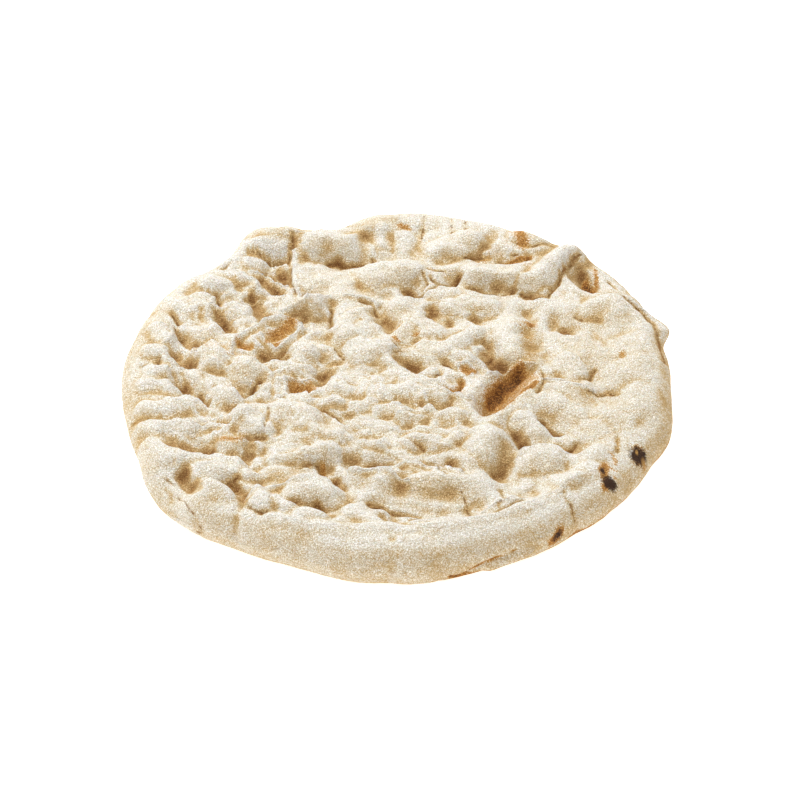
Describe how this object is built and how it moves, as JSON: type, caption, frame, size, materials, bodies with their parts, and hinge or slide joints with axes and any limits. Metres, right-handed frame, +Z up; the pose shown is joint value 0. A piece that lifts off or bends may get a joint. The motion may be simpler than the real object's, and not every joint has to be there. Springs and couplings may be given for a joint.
{
  "type": "pinsa base",
  "caption": "Round hand-stretched pinsa flatbread base, floured and par-baked, with a dimpled, blistered top, a rounded crust edge and a flat underside; food to be topped or served plain.",
  "frame": {"origin": "centre of the bounding box on the flat underside, on the surface the bread lies on", "axes": "+Z up through the top of the bread, -Y towards the front as shown, +X to its right"},
  "size_m": [0.283, 0.2812, 0.0269],
  "materials": {
    "crust": "matte, floured baked dough with toasted spots"
  },
  "bodies": {
    "root": {"bread": "crust"}
  },
  "joints": []
}
